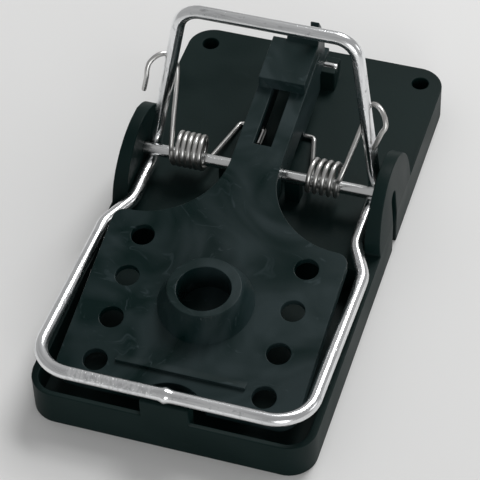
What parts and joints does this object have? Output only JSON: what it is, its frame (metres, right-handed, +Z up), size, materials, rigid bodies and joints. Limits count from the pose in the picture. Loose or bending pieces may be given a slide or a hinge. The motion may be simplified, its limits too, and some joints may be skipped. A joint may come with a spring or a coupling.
{
  "type": "snap mouse trap",
  "caption": "Snap mouse trap: moulded base, sprung bent-wire striker on an axle, and a baited treadle whose tongue ends in a latch hook.",
  "frame": {"origin": "middle of the base on the surface that the trap stands on", "axes": "+X across the trap, +Y towards the setting end, +Z up"},
  "size_m": [0.066, 0.1242, 0.0567],
  "materials": {
    "base_plastic": "moulded, low gloss, with faint flow marks",
    "treadle_plastic": "moulded, soft gloss, with swirled flow marks",
    "plated_steel": "bright plated rod",
    "striker_wire": "bright zinc plated wire with fine drawing lines",
    "spring_wire": "dull drawn spring wire"
  },
  "bodies": {
    "base": {"base_shell": "base_plastic", "axle_rod": "plated_steel", "treadle_pin": "plated_steel", "left_spring": "spring_wire", "right_spring": "spring_wire"},
    "striker": {"striker_bar": "striker_wire"},
    "treadle": {"treadle": "treadle_plastic"}
  },
  "joints": [
    {"name": "striker_swing", "type": "hinge", "parent": "base", "child": "striker", "pos_m": [0, 0.0105, 0.01635], "axis": [1, 0, 0], "range_deg": [-66, 0], "stiffness_Nm_per_rad": 0.12, "springref_deg": 20.05, "deforming": ["left_spring", "right_spring"]},
    {"name": "treadle_tilt", "type": "hinge", "parent": "base", "child": "treadle", "pos_m": [0, 0.0511, 0.0149], "axis": [1, 0, 0], "range_deg": [-6, 0]}
  ]
}
